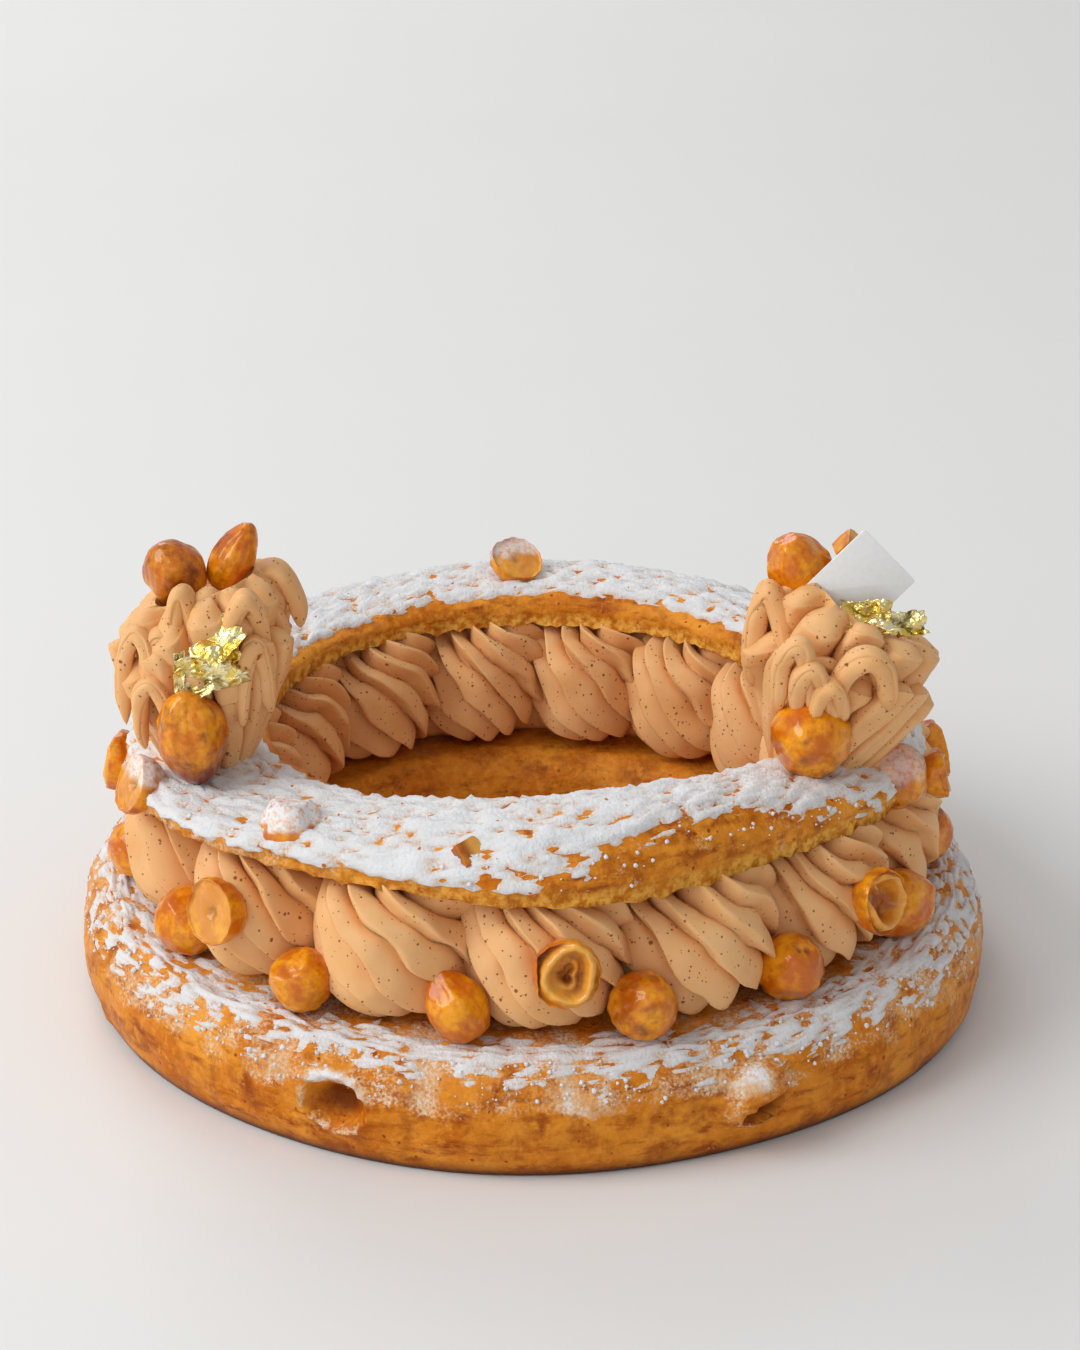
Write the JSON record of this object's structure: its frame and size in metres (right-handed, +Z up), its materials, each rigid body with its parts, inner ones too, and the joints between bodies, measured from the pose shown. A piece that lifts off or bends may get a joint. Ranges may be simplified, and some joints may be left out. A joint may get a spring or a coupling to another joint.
{
  "type": "paris-brest pastry",
  "caption": "ring of choux pastry split and filled with twisted swirls of praline cream, with caramelised hazelnuts, sugar, two rosettes, gold leaf and a bare card",
  "frame": {"origin": "on the table, at the centre of the ring", "axes": "+Z up, -Y the side that faces the camera, +X to its right"},
  "size_m": [0.2264, 0.2254, 0.1246],
  "materials": {
    "choux_crust": "baked choux pastry, golden brown, dusted with sugar",
    "praline_cream": "soft satin praline cream with fine nut specks",
    "caramel_nut": "caramelised hazelnut, glossy",
    "gold_leaf": "bright crumpled leaf",
    "white_card": "smooth bare card"
  },
  "bodies": {
    "root": {"base_crust": "choux_crust", "cream_filling": "praline_cream", "face_nut_0": "caramel_nut", "face_nut_1": "caramel_nut", "face_nut_2": "caramel_nut", "face_nut_3": "caramel_nut", "face_nut_4": "caramel_nut", "face_nut_5": "caramel_nut", "face_nut_6": "caramel_nut", "foot_nut_00": "caramel_nut", "foot_nut_01": "caramel_nut", "foot_nut_02": "caramel_nut", "foot_nut_03": "caramel_nut", "foot_nut_04": "caramel_nut", "foot_nut_05": "caramel_nut", "foot_nut_06": "caramel_nut", "foot_nut_07": "caramel_nut", "foot_nut_08": "caramel_nut", "foot_nut_09": "caramel_nut", "foot_nut_10": "caramel_nut", "foot_nut_11": "caramel_nut", "foot_nut_12": "caramel_nut", "foot_nut_13": "caramel_nut", "foot_nut_14": "caramel_nut", "gold_leaf_folded": "gold_leaf", "gold_leaf_left": "gold_leaf", "gold_leaf_right": "gold_leaf", "gold_leaf_strip": "gold_leaf", "label_card": "white_card", "left_nut_0": "caramel_nut", "left_nut_1": "caramel_nut", "left_nut_2": "caramel_nut", "lid_crust": "choux_crust", "lid_nut_back": "caramel_nut", "lid_nut_chip": "caramel_nut", "lid_nut_edge": "caramel_nut", "lid_nut_front": "caramel_nut", "lid_nut_left": "caramel_nut", "lid_nut_right": "caramel_nut", "right_nut_0": "caramel_nut", "right_nut_1": "caramel_nut", "right_nut_2": "caramel_nut", "rosette_left": "praline_cream", "rosette_right": "praline_cream"}
  },
  "joints": []
}
